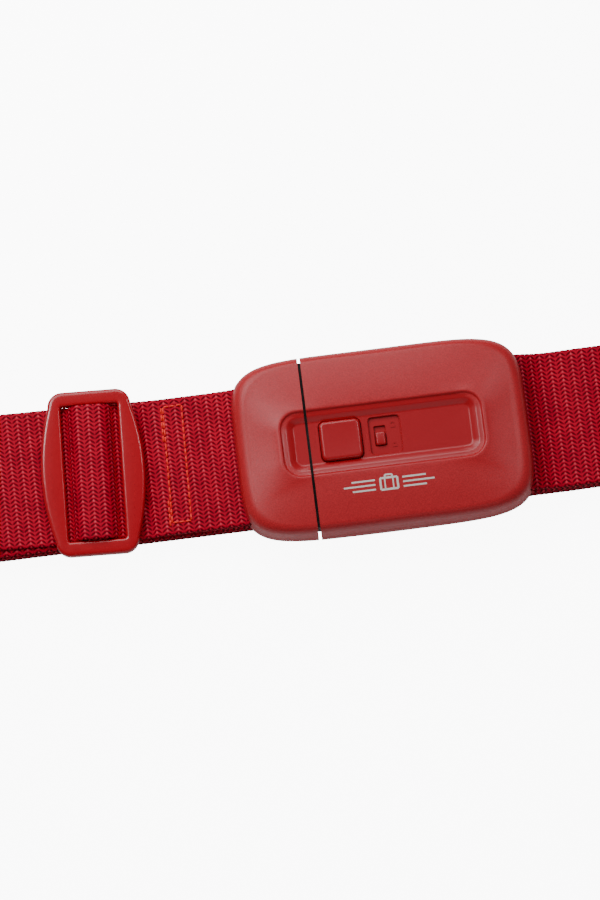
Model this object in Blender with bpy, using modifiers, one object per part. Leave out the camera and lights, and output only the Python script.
"""Luggage strap: one 50 mm webbing strap with a two-part push-button buckle and a slider.

The strap is closed, folded into four flat runs and held by a band, with the buckle face up on top.
X runs along the strap from the slider to the buckle's body half, Y across it, and Z is up.
Sizes are in metres. Inside the buckle, positions are measured from the centre of its underside.
"""

import math

import bmesh
import bpy

MM = 0.001

# Webbing
STRAP_WIDTH = 50 * MM
STRAP_THICK = 1.4 * MM
GAP = 0.3 * MM
LAYER = STRAP_THICK + GAP
PAIR_THICK = 2 * STRAP_THICK + GAP
RUN_PITCH = PAIR_THICK + GAP
SKEW = math.radians(2.7)
SKEW_START_X = -97 * MM

# Fold: heights of the middle of each run of two layers, from the lowest up
BASE = PAIR_THICK / 2
RUN_Z = [BASE + i * RUN_PITCH for i in range(4)]
LEFT_FOLD_X = -162 * MM
LOWER_FOLD_X = -158 * MM
RIGHT_SMALL_FOLD_X = 85 * MM
RIGHT_BIG_FOLD_X = 88.4 * MM
RUN_SPLIT_X = -150 * MM
FOLD_RADIUS = RUN_PITCH / 2

# Band that holds the fold, and the small lift that it gives to what lies over it
BAND_X = (83 * MM, 88.5 * MM)
BAND_THICK = 0.8 * MM
BAND_LIFT = BAND_THICK + GAP
LIFT_START_X = 64 * MM
LIFT_END_X = 78 * MM

# Buckle
BUCKLE_HALF_LENGTH = 53.5 * MM
BUCKLE_HALF_WIDTH = 33 * MM
OUTLINE_POWER = 5.5
BUCKLE_HEIGHT = 17.5 * MM
BUCKLE_Z = RUN_Z[2] + PAIR_THICK / 2 + GAP
WALL = 2 * MM
FLOOR = 1.6 * MM
PARTING_Z = 6 * MM
CAVITY_TOP = 13 * MM
TOP_ROUND = 5 * MM
BOTTOM_ROUND = 2.4 * MM
SPLIT_X = -26.8 * MM
SPLIT_HALF = 0.5 * MM

STEP_INSET = 2.4 * MM
STEP_DEPTH = 0.7 * MM

# Recessed channel over the split
CHANNEL_CENTRE_X = 0.25 * MM
CHANNEL_HALF = (36.95 * MM, 12 * MM)
CHANNEL_CORNER = 6.5 * MM
CHANNEL_FLOOR_HALF = (32.2 * MM, 7.8 * MM)
CHANNEL_FLOOR_Z = 15 * MM
SWITCH_RECESS_DEPTH = 1.2 * MM
BEYOND_ENDS = 1.0

# Release button, lock switch, tongue and the arm that latches it
BUTTON_X = -15 * MM
BUTTON_HALF = (7.5 * MM, 7.25 * MM)
BUTTON_GAP = 0.6 * MM
BUTTON_TOP = 16.8 * MM
SWITCH_X = -0.65 * MM
SWITCH_RECESS_X = 1.15 * MM
SWITCH_RECESS_HALF = (5.8 * MM, 6.9 * MM)
SWITCH_SLOT_HALF = (2.1 * MM, 3.7 * MM)
TOGGLE_HALF = (1.8 * MM, 2.45 * MM)
TOGGLE_Y = -1.1 * MM
TONGUE_Z = (6.6 * MM, 9.6 * MM)
TONGUE_HALF_WIDTH = 10 * MM
TONGUE_TIP_X = 8 * MM
TONGUE_BASE_X = (-39.5 * MM, -29.6 * MM)
WINDOW_HALF = (3.2 * MM, 6 * MM)
HOOK_HALF = (2.6 * MM, 5 * MM)

# Strap bars and screws
BAR_X = 44.5 * MM
BAR_Z = 6.5 * MM
BAR_RADIUS = 2 * MM
BAR_HALF_LENGTH = 28.2 * MM
STRAP_LOOP_RADIUS = BAR_RADIUS + GAP + STRAP_THICK / 2
BODY_POSTS = [(31 * MM, 22 * MM), (31 * MM, -22 * MM), (-20 * MM, 25 * MM), (-20 * MM, -25 * MM)]
PLUG_POSTS = [(-35 * MM, 21 * MM), (-35 * MM, -21 * MM)]
POST_RADIUS = 3.1 * MM

# Slider
SLIDER_X = -106 * MM
SLIDER_Y = 0.9 * MM
SLIDER_HALF = (18.6 * MM, 30.4 * MM)
SLIDER_END_HALF = 15.2 * MM
SLIDER_WINDOW_HALF = (10.5 * MM, 25.8 * MM)
SLIDER_CORNER = 5 * MM
SLIDER_THICK = 4.5 * MM
SLIDER_BAR_HALF = 3 * MM

# Heights over the buckle's underside
TOP_LAYER_Z = RUN_Z[3] + LAYER / 2 - BUCKLE_Z
LOWER_LAYER_Z = RUN_Z[3] - LAYER / 2 - BUCKLE_Z
SLIDER_Z = TOP_LAYER_Z + STRAP_THICK / 2 + GAP

# Whole part, and where the buckle's centre is from the middle of the part's box
FOLD_REACH = FOLD_RADIUS + PAIR_THICK / 2
BIG_FOLD_RADIUS = (RUN_Z[3] - RUN_Z[0]) / 2
PART_LEFT = LEFT_FOLD_X - FOLD_REACH
PART_RIGHT = RIGHT_BIG_FOLD_X + BIG_FOLD_RADIUS + PAIR_THICK / 2
BUCKLE_CENTRE_X = -(PART_LEFT + PART_RIGHT) / 2

RED = (0.42, 0.035, 0.033, 1)
DEEP_RED = (0.36, 0.018, 0.02, 1)
GLOSS_RED = (0.40, 0.012, 0.018, 1)
WEBBING_RED = (0.50, 0.002, 0.018, 1)
THREAD_RED = (0.85, 0.06, 0.03, 1)
STEEL = (0.62, 0.62, 0.63, 1)
BLACK = (0.03, 0.03, 0.03, 1)


def clear_scene():
    for obj in list(bpy.data.objects):
        bpy.data.objects.remove(obj)


def make_collection(name):
    collection = bpy.data.collections.new(name)
    bpy.context.scene.collection.children.link(collection)
    return collection


def make_material(name, colour, roughness, metallic=0.0):
    material = bpy.data.materials.new(name)
    material.use_nodes = True
    shader = material.node_tree.nodes["Principled BSDF"]
    shader.inputs["Base Color"].default_value = colour
    shader.inputs["Roughness"].default_value = roughness
    shader.inputs["Metallic"].default_value = metallic
    material.diffuse_color = colour
    return material


clear_scene()
PARTS = make_collection("luggage_strap")
CUTTERS = make_collection("luggage_strap_cutters")
COVER_PLASTIC = make_material("cover_plastic", RED, 0.55)
BUTTON_PLASTIC = make_material("button_plastic", DEEP_RED, 0.35)
SLIDER_PLASTIC = make_material("slider_plastic", GLOSS_RED, 0.25)
INNER_PLASTIC = make_material("inner_plastic", BLACK, 0.5)
BAR_STEEL = make_material("bar_steel", STEEL, 0.35, 1.0)
WEBBING = make_material("webbing", WEBBING_RED, 0.7)
THREAD = make_material("thread", THREAD_RED, 0.6)
BAND_ELASTIC = make_material("band_elastic", DEEP_RED, 0.8)


def make_empty(name, location, parent=None, turn=0.0):
    empty = bpy.data.objects.new(name, None)
    empty.location = location
    empty.rotation_euler = (0, 0, turn)
    empty.parent = parent
    PARTS.objects.link(empty)
    return empty


def finish_object(name, bm, home, material):
    """Make an object from a closed bmesh. Without a material it is a hidden cutter."""
    bm.normal_update()
    bmesh.ops.recalc_face_normals(bm, faces=bm.faces)
    mesh = bpy.data.meshes.new(name)
    bm.to_mesh(mesh)
    bm.free()
    obj = bpy.data.objects.new(name, mesh)
    obj.parent = home
    if material:
        mesh.materials.append(material)
        mesh.shade_smooth()
        mesh.set_sharp_from_angle(angle=math.radians(30))
        PARTS.objects.link(obj)
    else:
        obj.hide_render = True
        obj.display_type = "WIRE"
        CUTTERS.objects.link(obj)
    return obj


def box(name, low, high, home, material=None):
    bm = bmesh.new()
    bmesh.ops.create_cube(bm, size=1)
    for vert in bm.verts:
        vert.co = [(a + b) / 2 + (b - a) * c for a, b, c in zip(low, high, vert.co)]
    return finish_object(name, bm, home, material)


def rod(name, centre, radius, length, home, material=None, axis="Z", sides=24):
    bm = bmesh.new()
    bmesh.ops.create_cone(
        bm, cap_ends=True, segments=sides, radius1=radius, radius2=radius, depth=length
    )
    for vert in bm.verts:
        x, y, z = vert.co
        turned = (x, -z, y) if axis == "Y" else (x, y, z)
        vert.co = [c + t for c, t in zip(centre, turned)]
    return finish_object(name, bm, home, material)


def prism_bmesh(outline, low, high):
    """A flat outline extruded from low to high, from a filled 2D curve."""
    curve = bpy.data.curves.new("outline", "CURVE")
    curve.dimensions = "2D"
    curve.fill_mode = "BOTH"
    curve.extrude = (high - low) / 2
    spline = curve.splines.new("POLY")
    spline.points.add(len(outline) - 1)
    for point, (x, y) in zip(spline.points, outline):
        point.co = (x, y, 0, 1)
    spline.use_cyclic_u = True
    guide = bpy.data.objects.new("outline", curve)
    CUTTERS.objects.link(guide)
    bpy.context.view_layer.update()
    graph = bpy.context.evaluated_depsgraph_get()
    mesh = bpy.data.meshes.new_from_object(guide.evaluated_get(graph))
    bpy.data.objects.remove(guide)
    bm = bmesh.new()
    bm.from_mesh(mesh)
    bmesh.ops.remove_doubles(bm, verts=bm.verts, dist=1e-6)
    bmesh.ops.translate(bm, verts=bm.verts, vec=(0, 0, (low + high) / 2))
    return bm


def prism(name, outline, low, high, home, material=None):
    return finish_object(name, prism_bmesh(outline, low, high), home, material)


def round_rim(bm, rim_z, width, segments, keep_x):
    """Round the edges at height rim_z, leaving sharp those along the straight split at keep_x."""
    rim = []
    for edge in bm.edges:
        at_rim = all(abs(v.co.z - rim_z) < 1e-6 for v in edge.verts)
        at_split = all(abs(v.co.x - keep_x) < 1e-6 for v in edge.verts)
        if at_rim and len(edge.link_faces) == 2 and not at_split:
            if edge.calc_face_angle(0) > 0.5:
                rim.append(edge)
    bmesh.ops.bevel(bm, geom=rim, offset=width, segments=segments, profile=0.5, affect="EDGES")


def cut(obj, *cutters):
    for cutter in cutters:
        modifier = obj.modifiers.new("cut_" + cutter.name, "BOOLEAN")
        modifier.operation = "DIFFERENCE"
        modifier.solver = "EXACT"
        modifier.object = cutter


def join(obj, *pieces):
    for piece in pieces:
        modifier = obj.modifiers.new("join_" + piece.name, "BOOLEAN")
        modifier.operation = "UNION"
        modifier.solver = "EXACT"
        modifier.object = piece


def rounded_rectangle(centre_x, half, radius, steps=6):
    points = []
    for quarter in range(4):
        sign_x = 1 if quarter in (0, 3) else -1
        sign_y = 1 if quarter in (0, 1) else -1
        for i in range(steps + 1):
            angle = math.pi / 2 * (quarter + i / steps)
            points.append(
                (
                    centre_x + sign_x * (half[0] - radius) + radius * math.cos(angle),
                    sign_y * (half[1] - radius) + radius * math.sin(angle),
                )
            )
    return points


def power(value, exponent):
    return math.copysign(abs(value) ** exponent, value)


def buckle_outline(inset, low_x, high_x, steps=56):
    """The buckle's outline, drawn in by inset and cut off square at low_x and high_x."""
    a = BUCKLE_HALF_LENGTH - inset
    b = BUCKLE_HALF_WIDTH - inset
    n = OUTLINE_POWER
    points = []
    for i in range(steps):
        angle = 2 * math.pi * (i + 0.5) / steps
        x = a * power(math.cos(angle), 2 / n)
        y = b * power(math.sin(angle), 2 / n)
        if low_x + 0.5 * MM < x < high_x - 0.5 * MM:
            points.append((x, y))
    for cut_x in (low_x, high_x):
        if abs(cut_x) < a:
            y = b * (1 - (abs(cut_x) / a) ** n) ** (1 / n)
            points += [(cut_x, y), (cut_x, -y)]
    middle_x = (max(x for x, _ in points) + min(x for x, _ in points)) / 2
    return sorted(points, key=lambda p: math.atan2(p[1], p[0] - middle_x))


def arc(centre, radius, start_deg, end_deg, steps=8):
    points = []
    for i in range(steps + 1):
        angle = math.radians(start_deg + (end_deg - start_deg) * i / steps)
        points.append((centre[0] + radius * math.cos(angle), centre[1] + radius * math.sin(angle)))
    return points


def smooth_step(value):
    value = min(max(value, 0), 1)
    return value * value * (3 - 2 * value)


def band_lift(x):
    return BAND_LIFT * smooth_step((x - LIFT_START_X) / (LIFT_END_X - LIFT_START_X))


def skew_shift(x):
    """From under the slider to the left fold the strap lies at a slight angle."""
    return max(SKEW_START_X - x, 0) * math.tan(SKEW)


def divided(path, longest=8 * MM):
    """The path with its long straight stretches divided, so that they can bend."""
    points = [path[0]]
    for (x0, z0), (x1, z1) in zip(path, path[1:]):
        pieces = max(1, math.ceil(math.hypot(x1 - x0, z1 - z0) / longest))
        for i in range(1, pieces + 1):
            points.append((x0 + (x1 - x0) * i / pieces, z0 + (z1 - z0) * i / pieces))
    return points


def ribbon(name, path, thick, home, shift=None, lift=False, width=STRAP_WIDTH, material=None):
    """A strip of webbing: a path in X and Z, drawn out to its width, then made solid."""
    bm = bmesh.new()
    row = [bm.verts.new((x, -width / 2, z)) for x, z in path]
    edges = [bm.edges.new(pair) for pair in zip(row, row[1:])]
    drawn = bmesh.ops.extrude_edge_only(bm, edges=edges)["geom"]
    far_side = [item for item in drawn if isinstance(item, bmesh.types.BMVert)]
    bmesh.ops.translate(bm, verts=far_side, vec=(0, width, 0))
    for vert in bm.verts:
        if shift:
            vert.co.y += shift(vert.co.x)
        if lift:
            vert.co.z += band_lift(vert.co.x)
    obj = finish_object(name, bm, home, material or WEBBING)
    solid = obj.modifiers.new("thickness", "SOLIDIFY")
    solid.thickness = thick
    solid.offset = 0
    solid.use_even_offset = True
    return obj


def add_screws(label, places, home):
    """Self-tapping screws with their heads below, one in each post."""
    for i, (x, y) in enumerate(places):
        name = f"{label}_screw_{i + 1}"
        head = rod(name, (x, y, 1.4 * MM), 2.2 * MM, 1.4 * MM, home, BAR_STEEL, sides=16)
        shank = rod(name + "_shank", (x, y, 5.9 * MM), 1 * MM, 8.2 * MM, home, sides=12)
        join(head, shank)


def add_posts(top, bottom, places, home, label):
    """Screw posts that meet at the parting plane, with a counterbore from below."""
    for i, (x, y) in enumerate(places):
        tag = f"{label}_{i}"
        upper_low = PARTING_Z + GAP / 2
        upper = rod(
            "upper_post_" + tag,
            (x, y, (upper_low + CAVITY_TOP + 0.5 * MM) / 2),
            POST_RADIUS,
            CAVITY_TOP + 0.5 * MM - upper_low,
            home,
        )
        lower_high = PARTING_Z - GAP / 2
        lower = rod(
            "lower_post_" + tag,
            (x, y, (1 * MM + lower_high) / 2),
            POST_RADIUS,
            lower_high - 1 * MM,
            home,
        )
        thread = rod("thread_hole_" + tag, (x, y, 7.5 * MM), 1.3 * MM, 7 * MM, home, sides=12)
        clear = rod("clear_hole_" + tag, (x, y, 4 * MM), 1.3 * MM, 9 * MM, home, sides=12)
        sink = rod("counterbore_" + tag, (x, y, 0.7 * MM), 2.5 * MM, 3.4 * MM, home, sides=16)
        join(top, upper)
        join(bottom, lower)
        cut(top, thread)
        cut(bottom, clear, sink)


def make_channel_cutter(home):
    """The channel over the split: a round-ended recess with sloping walls."""
    bm = prism_bmesh(
        rounded_rectangle(0, CHANNEL_HALF, CHANNEL_CORNER), CHANNEL_FLOOR_Z, BUCKLE_HEIGHT + 1 * MM
    )
    for vert in bm.verts:
        if vert.co.z < CHANNEL_FLOOR_Z + 1e-6:
            vert.co.x *= CHANNEL_FLOOR_HALF[0] / CHANNEL_HALF[0]
            vert.co.y *= CHANNEL_FLOOR_HALF[1] / CHANNEL_HALF[1]
        vert.co.x += CHANNEL_CENTRE_X
    return finish_object("channel_recess", bm, home, None)


def make_strap_slot(name, end, home):
    """The slot in the buckle's end that the webbing leaves through, and its wider inner part."""
    low_x, high_x = sorted((end * 49.5 * MM, end * 56 * MM))
    inner_low, inner_high = sorted((end * 44 * MM, end * 50 * MM))
    half_y = STRAP_WIDTH / 2 + 0.7 * MM
    slot = box(name, (low_x, -half_y, 2.7 * MM), (high_x, half_y, 8.4 * MM), home)
    inner = box(
        name + "_inner",
        (inner_low, -half_y, 2.3 * MM),
        (inner_high, half_y, 10.7 * MM),
        home,
    )
    return slot, inner


def make_half_covers(label, low_x, high_x, end, home, channel, mouth):
    """The top and bottom cover of one half, hollow inside, with room for the bar and the strap."""
    keep_x = low_x if end > 0 else high_x
    wall_low = low_x + WALL if end > 0 else low_x - 1
    wall_high = high_x - WALL if end < 0 else high_x + 1
    outline = buckle_outline(0, low_x, high_x)
    top_bm = prism_bmesh(outline, PARTING_Z + GAP / 2, BUCKLE_HEIGHT)
    round_rim(top_bm, BUCKLE_HEIGHT, TOP_ROUND, 3, keep_x)
    top = finish_object(label + "_top_cover", top_bm, home, COVER_PLASTIC)
    bottom_bm = prism_bmesh(outline, 0, PARTING_Z - GAP / 2)
    round_rim(bottom_bm, 0, BOTTOM_ROUND, 2, keep_x)
    bottom = finish_object(label + "_bottom_cover", bottom_bm, home, COVER_PLASTIC)
    hollow = prism(
        label + "_hollow", buckle_outline(WALL, wall_low, wall_high), FLOOR, CAVITY_TOP, home
    )
    slot = make_strap_slot(label + "_strap_slot", end, home)
    bar_seat = rod(
        label + "_bar_seat",
        (end * BAR_X, 0, BAR_Z),
        BAR_RADIUS + GAP,
        2 * BAR_HALF_LENGTH + 2 * GAP,
        home,
        axis="Y",
        sides=16,
    )
    cut(top, hollow, *slot, bar_seat, channel, mouth)
    cut(bottom, hollow, *slot, bar_seat)
    return top, bottom


def make_mouth(home):
    """The opening in both split faces that the tongue passes through."""
    return box(
        "tongue_mouth",
        (SPLIT_X - 4 * MM, -TONGUE_HALF_WIDTH - 0.6 * MM, PARTING_Z - 1 * MM),
        (SPLIT_X + 4 * MM, TONGUE_HALF_WIDTH + 0.6 * MM, TONGUE_Z[1] + 0.4 * MM),
        home,
    )


def add_gap_step(top, bottom, home, mouth):
    """A step on the plug's split face, set in from the outline, that fills most of the gap."""
    plug_face = SPLIT_X - SPLIT_HALF
    outline = buckle_outline(STEP_INSET, plug_face - 1 * MM, plug_face + STEP_DEPTH)
    upper = prism("step_upper", outline, PARTING_Z + GAP, CAVITY_TOP, home)
    lower = prism("step_lower", outline, STEP_INSET, PARTING_Z - GAP, home)
    cut(upper, mouth)
    join(top, upper)
    join(bottom, lower)


def cut_controls(top, home):
    """The button's hole, the switch's recess and its slot, in the channel floor."""
    hole_half = [h + BUTTON_GAP for h in BUTTON_HALF]
    hole = prism(
        "button_hole", rounded_rectangle(BUTTON_X, hole_half, 2.4 * MM, 4), 11 * MM, 18 * MM, home
    )
    recess = prism(
        "switch_recess",
        rounded_rectangle(SWITCH_RECESS_X, SWITCH_RECESS_HALF, 2 * MM, 4),
        CHANNEL_FLOOR_Z - SWITCH_RECESS_DEPTH,
        18 * MM,
        home,
    )
    slot = prism(
        "switch_slot",
        rounded_rectangle(SWITCH_X, SWITCH_SLOT_HALF, 0.6 * MM, 2),
        11 * MM,
        18 * MM,
        home,
    )
    cut(top, hole, recess, slot)


def make_button(home):
    """The cap, its flange under the cover, and two legs that reach past the tongue to the arm."""
    cap_bm = prism_bmesh(rounded_rectangle(BUTTON_X, BUTTON_HALF, 2 * MM, 4), 12.4 * MM, BUTTON_TOP)
    round_rim(cap_bm, BUTTON_TOP, 1 * MM, 2, 1.0)
    cap = finish_object("release_button", cap_bm, home, BUTTON_PLASTIC)
    flange = box(
        "button_flange",
        (BUTTON_X - 8.5 * MM, -14 * MM, 11.8 * MM),
        (BUTTON_X + 8.5 * MM, 14 * MM, 12.7 * MM),
        home,
    )
    join(cap, flange)
    for side in (-1, 1):
        y_low, y_high = sorted((side * 10.8 * MM, side * 13.5 * MM))
        leg = box(
            f"button_leg_{side}",
            (BUTTON_X - 4 * MM, y_low, 5.5 * MM),
            (BUTTON_X + 4 * MM, y_high, 12.2 * MM),
            home,
        )
        join(cap, leg)
    return cap


def make_latch_arm(home):
    """A springy arm from the guide, with a wide plate under the legs and a hook in the tongue."""
    plate = box(
        "latch_arm",
        (BUTTON_X - 5 * MM, -13.5 * MM, 3.9 * MM),
        (BUTTON_X + 5 * MM, 13.5 * MM, 5.2 * MM),
        home,
        INNER_PLASTIC,
    )
    stem = box("latch_stem", (BUTTON_X, -6 * MM, 4.1 * MM), (-3.4 * MM, 6 * MM, 5.1 * MM), home)
    hook = box(
        "latch_hook",
        (BUTTON_X - HOOK_HALF[0], -HOOK_HALF[1], 4.5 * MM),
        (BUTTON_X + HOOK_HALF[0], HOOK_HALF[1], 8.4 * MM),
        home,
    )
    join(plate, stem, hook)
    return plate


def make_guide(home):
    """A frame fixed in the body half that the tongue runs into."""
    frame = box(
        "tongue_guide",
        (-3 * MM, -14 * MM, FLOOR + GAP),
        (20 * MM, 14 * MM, 11.2 * MM),
        home,
        INNER_PLASTIC,
    )
    tunnel = box(
        "guide_tunnel",
        (-4 * MM, -TONGUE_HALF_WIDTH - 0.4 * MM, TONGUE_Z[0] - GAP),
        (11 * MM, TONGUE_HALF_WIDTH + 0.4 * MM, TONGUE_Z[1] + GAP),
        home,
    )
    relief = box(
        "guide_relief", (-1.4 * MM, -12.4 * MM, 0), (18.4 * MM, 12.4 * MM, 4.7 * MM), home
    )
    cut(frame, tunnel, relief)
    return frame


def make_tongue(home):
    """A flat tongue with a window for the hook, and a block that the covers hold."""
    half = TONGUE_HALF_WIDTH
    outline = [
        (TONGUE_BASE_X[0] + 2 * MM, -half),
        (TONGUE_TIP_X - 4 * MM, -half),
        (TONGUE_TIP_X, -half + 3 * MM),
        (TONGUE_TIP_X, half - 3 * MM),
        (TONGUE_TIP_X - 4 * MM, half),
        (TONGUE_BASE_X[0] + 2 * MM, half),
    ]
    tongue = prism("plug_tongue", outline, TONGUE_Z[0], TONGUE_Z[1], home, INNER_PLASTIC)
    block = box(
        "tongue_block",
        (TONGUE_BASE_X[0], -15 * MM, FLOOR + GAP),
        (TONGUE_BASE_X[1], 15 * MM, CAVITY_TOP - GAP),
        home,
    )
    window = prism(
        "tongue_window",
        rounded_rectangle(BUTTON_X, WINDOW_HALF, 1 * MM, 2),
        TONGUE_Z[0] - 1 * MM,
        TONGUE_Z[1] + 1 * MM,
        home,
    )
    join(tongue, block)
    cut(tongue, window)
    return tongue


def make_switch(home):
    """The lock switch: a toggle in the slot and a plate under the cover."""
    toggle_bm = prism_bmesh(
        [(x, y + TOGGLE_Y) for x, y in rounded_rectangle(SWITCH_X, TOGGLE_HALF, 0.5 * MM, 2)],
        12 * MM,
        15.3 * MM,
    )
    toggle = finish_object("lock_switch", toggle_bm, home, BUTTON_PLASTIC)
    plate = box("switch_plate", (-5 * MM, -7.5 * MM, 11.6 * MM), (4 * MM, 5 * MM, 12.7 * MM), home)
    join(toggle, plate)
    return toggle


def make_detent(home):
    """A bowed leaf spring beside the switch's plate."""
    length = 7 * MM
    outer = []
    inner = []
    for i in range(11):
        y = length * (i / 10 - 0.5) * 2
        bow = 1.2 * MM * (1 - (y / length) ** 2)
        outer.append((6 * MM - bow, y))
        inner.append((6.5 * MM - bow, y))
    return prism(
        "switch_detent_spring", outer + inner[::-1], 11.7 * MM, 12.6 * MM, home, BAR_STEEL
    )


def slider_outline():
    """A rounded rectangle whose long sides swell towards the middle."""
    radius = SLIDER_CORNER
    points = []
    for x, y in rounded_rectangle(0, (SLIDER_END_HALF, SLIDER_HALF[1]), radius, 5):
        points.append((x, y))
    swollen = []
    for i in range(1, 8):
        y = (SLIDER_HALF[1] - radius) * (1 - 2 * i / 8)
        swell = (SLIDER_HALF[0] - SLIDER_END_HALF) * (1 - (y / (SLIDER_HALF[1] - radius)) ** 2)
        swollen.append((SLIDER_END_HALF + swell, y))
    points += [(-x, y) for x, y in swollen] + swollen
    return sorted(points, key=lambda p: math.atan2(p[1], p[0]))


def make_slider(home):
    """The slider: a frame with one wide window and a bar across its middle."""
    bm = prism_bmesh(slider_outline(), SLIDER_Z, SLIDER_Z + SLIDER_THICK)
    round_rim(bm, SLIDER_Z + SLIDER_THICK, 1.2 * MM, 2, 1.0)
    round_rim(bm, SLIDER_Z, 0.6 * MM, 1, 1.0)
    frame = finish_object("strap_slider", bm, home, SLIDER_PLASTIC)
    half_x, half_y = SLIDER_WINDOW_HALF
    window = box(
        "slider_window",
        (-half_x, -half_y, SLIDER_Z - 1 * MM),
        (half_x, half_y, SLIDER_Z + SLIDER_THICK + 1 * MM),
        home,
    )
    bar_low = SLIDER_Z + STRAP_THICK + GAP
    bar = box(
        "slider_bar",
        (-SLIDER_BAR_HALF, -half_y - 2 * MM, bar_low),
        (SLIDER_BAR_HALF, half_y + 2 * MM, bar_low + 2 * MM),
        home,
    )
    cut(frame, window)
    join(frame, bar)
    return frame


def make_slider_webbing(home):
    """The strap's sewn end round the slider's bar, and the strap where it climbs over that."""
    bar_low = SLIDER_Z + STRAP_THICK + GAP
    mid_z = bar_low + 1 * MM
    reach = 1 * MM + GAP + STRAP_THICK / 2
    side = SLIDER_BAR_HALF - 0.5 * MM
    loop = [(-side + 0.2 * MM, mid_z - reach)]
    loop += arc((side, mid_z), reach, -90, 90)
    loop += arc((-side, mid_z), reach, 90, 250, 12)
    ribbon("strap_slider_end", loop, STRAP_THICK, home)
    top = mid_z + reach + LAYER
    foot = SLIDER_Z + STRAP_THICK / 2
    hump = [(-8.8, foot), (-7.5, foot + 0.5 * MM), (-6.8, foot + 1.6 * MM), (-6.5, top - 2.2 * MM)]
    hump += [(-5.8, top - 0.8 * MM), (-4.4, top)]
    left = [(x * MM, z) for x, z in hump]
    arch = left + [(-x, z) for x, z in reversed(left)]
    ribbon("strap_slider_hump", arch, STRAP_THICK, home)


def make_plug_webbing(frame, buckle):
    """The strap from its sewn end in the plug half, under the slider, to the left fold."""
    ridge_x = -83 * MM
    path = [(ridge_x, 2.75 * MM), (-60 * MM, 3 * MM), (-53.5 * MM, 3.7 * MM)]
    path += arc((-BAR_X, BAR_Z), STRAP_LOOP_RADIUS, -90, 90, 10)
    path += [(-53.5 * MM, 5.75 * MM), (-60 * MM, 4.75 * MM), (ridge_x, 4.5 * MM)]
    path += [(-84.5 * MM, 4.1 * MM), (-86.6 * MM, TOP_LAYER_Z + 0.3 * MM)]
    path += [(-87.8 * MM, TOP_LAYER_Z), (RUN_SPLIT_X, TOP_LAYER_Z)]
    ribbon("strap_plug_run", divided(path), STRAP_THICK, buckle, skew_shift)
    top_z = 4.5 * MM + STRAP_THICK / 2 + GAP
    stitch = box(
        "plug_box_stitch",
        (-79.6 * MM, -21 * MM, top_z + 0.1 * MM),
        (-71.2 * MM, 21 * MM, top_z + 0.5 * MM),
        buckle,
        THREAD,
    )
    inside = box(
        "stitch_inside",
        (-78.6 * MM, -20 * MM, top_z - 1 * MM),
        (-72.2 * MM, 20 * MM, top_z + 2 * MM),
        buckle,
    )
    cut(stitch, inside)
    ribbon(
        "strap_lower_run",
        divided([(SLIDER_X + 4 * MM, LOWER_LAYER_Z), (RUN_SPLIT_X, LOWER_LAYER_Z)]),
        STRAP_THICK,
        buckle,
    )
    fold_z = (RUN_Z[2] + RUN_Z[3]) / 2
    fold = [(RUN_SPLIT_X - GAP, RUN_Z[3])]
    fold += arc((LEFT_FOLD_X, fold_z), FOLD_RADIUS, 90, 270)
    fold += [(RUN_SPLIT_X - GAP, RUN_Z[2])]
    ribbon("strap_left_fold", divided(fold), PAIR_THICK, frame, skew_shift)


def return_shift(x):
    """The run under the buckle loses the skew again towards its right end."""
    return skew_shift(RUN_SPLIT_X) * smooth_step((RUN_SPLIT_X - x) / (120 * MM) + 1)


def make_body_webbing(frame, buckle):
    """The strap round the body half's bar and the folded runs below the buckle."""
    path = [(53.2 * MM, 3.7 * MM)]
    path += arc((BAR_X, BAR_Z), STRAP_LOOP_RADIUS, 270, 90, 10)
    path += [(53.2 * MM, 5.75 * MM)]
    ribbon("strap_body_loop", path, STRAP_THICK, buckle)
    return_run = [(RUN_SPLIT_X, RUN_Z[2]), (RIGHT_SMALL_FOLD_X - 5 * MM, RUN_Z[2])]
    ribbon(
        "strap_return_run", divided(return_run), PAIR_THICK, frame, return_shift, lift=True
    )
    small_z = (RUN_Z[1] + RUN_Z[2]) / 2
    lower_z = (RUN_Z[0] + RUN_Z[1]) / 2
    big_z = (RUN_Z[0] + RUN_Z[3]) / 2
    runs = [(53.7 * MM, BUCKLE_Z + 4.7 * MM), (55.5 * MM, BUCKLE_Z + 4.1 * MM)]
    runs += [(58.5 * MM, RUN_Z[3] + 0.7 * MM), (61 * MM, RUN_Z[3])]
    runs += arc((RIGHT_BIG_FOLD_X, big_z), BIG_FOLD_RADIUS, 90, -90, 12)
    runs += arc((LOWER_FOLD_X, lower_z), FOLD_RADIUS, 270, 90)
    runs += arc((RIGHT_SMALL_FOLD_X, small_z), FOLD_RADIUS, -90, 90)
    runs += [(RIGHT_SMALL_FOLD_X - 4.7 * MM, RUN_Z[2])]
    ribbon("strap_folded_run", divided(runs), PAIR_THICK, frame, lift=True)


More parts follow.
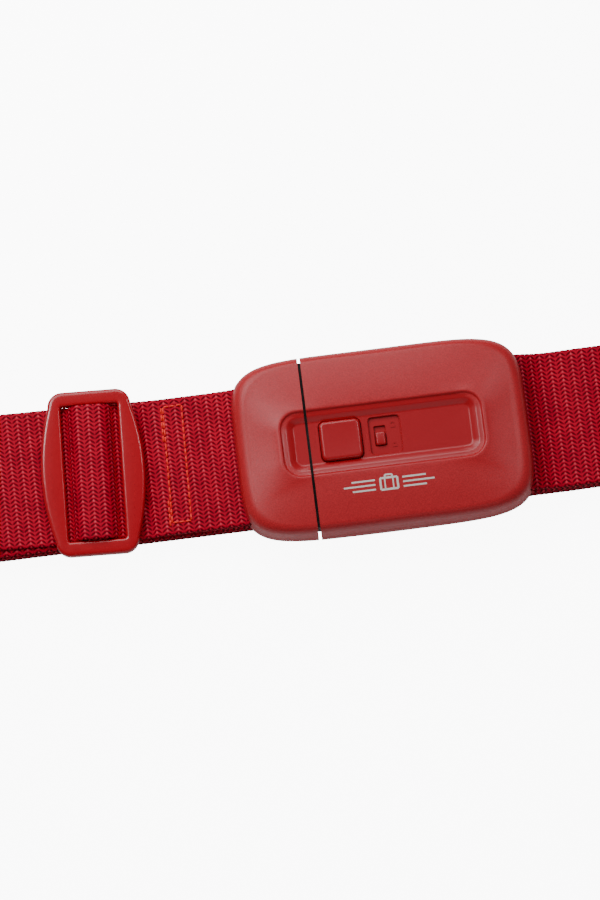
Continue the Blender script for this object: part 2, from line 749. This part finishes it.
def make_band(frame):
    """The elastic band round the folded strap, outside the folds' own gap."""
    low_z = BAND_THICK
    high_z = RUN_Z[3] + PAIR_THICK / 2 + BAND_LIFT + GAP
    half_y = STRAP_WIDTH / 2 + 0.8 * MM
    band = box(
        "storage_band",
        (BAND_X[0], -half_y - BAND_THICK, 0),
        (BAND_X[1], half_y + BAND_THICK, high_z + BAND_THICK),
        frame,
        BAND_ELASTIC,
    )
    inside = box(
        "band_inside",
        (BAND_X[0] - 1 * MM, -half_y, low_z),
        (BAND_X[1] + 1 * MM, half_y, high_z),
        frame,
    )
    cut(band, inside)


def make_bar(name, end, home):
    rod(
        name,
        (end * BAR_X, 0, BAR_Z),
        BAR_RADIUS,
        2 * BAR_HALF_LENGTH,
        home,
        BAR_STEEL,
        axis="Y",
        sides=20,
    )


def main():
    frame = make_empty("strap_frame", (BUCKLE_CENTRE_X, 0, 0))
    buckle = make_empty("buckle_frame", (0, 0, BUCKLE_Z), frame)
    plug = make_empty("plug_slide_frame", (0, 0, 0), buckle)
    button = make_empty("button_frame", (0, 0, 0), buckle)
    switch = make_empty("switch_frame", (0, 0, 0), buckle)
    slider = make_empty("slider_frame", (SLIDER_X, SLIDER_Y, 0), plug, -SKEW)

    channel = make_channel_cutter(buckle)
    mouth = make_mouth(buckle)
    body_low = SPLIT_X + SPLIT_HALF
    plug_high = SPLIT_X - SPLIT_HALF
    top, bottom = make_half_covers("body", body_low, BEYOND_ENDS, 1, buckle, channel, mouth)
    cut_controls(top, buckle)
    add_posts(top, bottom, BODY_POSTS, buckle, "body")
    add_screws("body", BODY_POSTS, buckle)
    make_bar("body_strap_bar", 1, buckle)
    make_guide(buckle)
    make_latch_arm(buckle)
    make_detent(buckle)

    top, bottom = make_half_covers("plug", -BEYOND_ENDS, plug_high, -1, plug, channel, mouth)
    add_gap_step(top, bottom, plug, mouth)
    add_posts(top, bottom, PLUG_POSTS, plug, "plug")
    add_screws("plug", PLUG_POSTS, plug)
    make_bar("plug_strap_bar", -1, plug)
    make_tongue(plug)

    make_button(button)
    make_switch(switch)
    make_slider(slider)
    make_slider_webbing(slider)
    make_plug_webbing(frame, plug)
    make_body_webbing(frame, buckle)
    make_band(frame)


main()
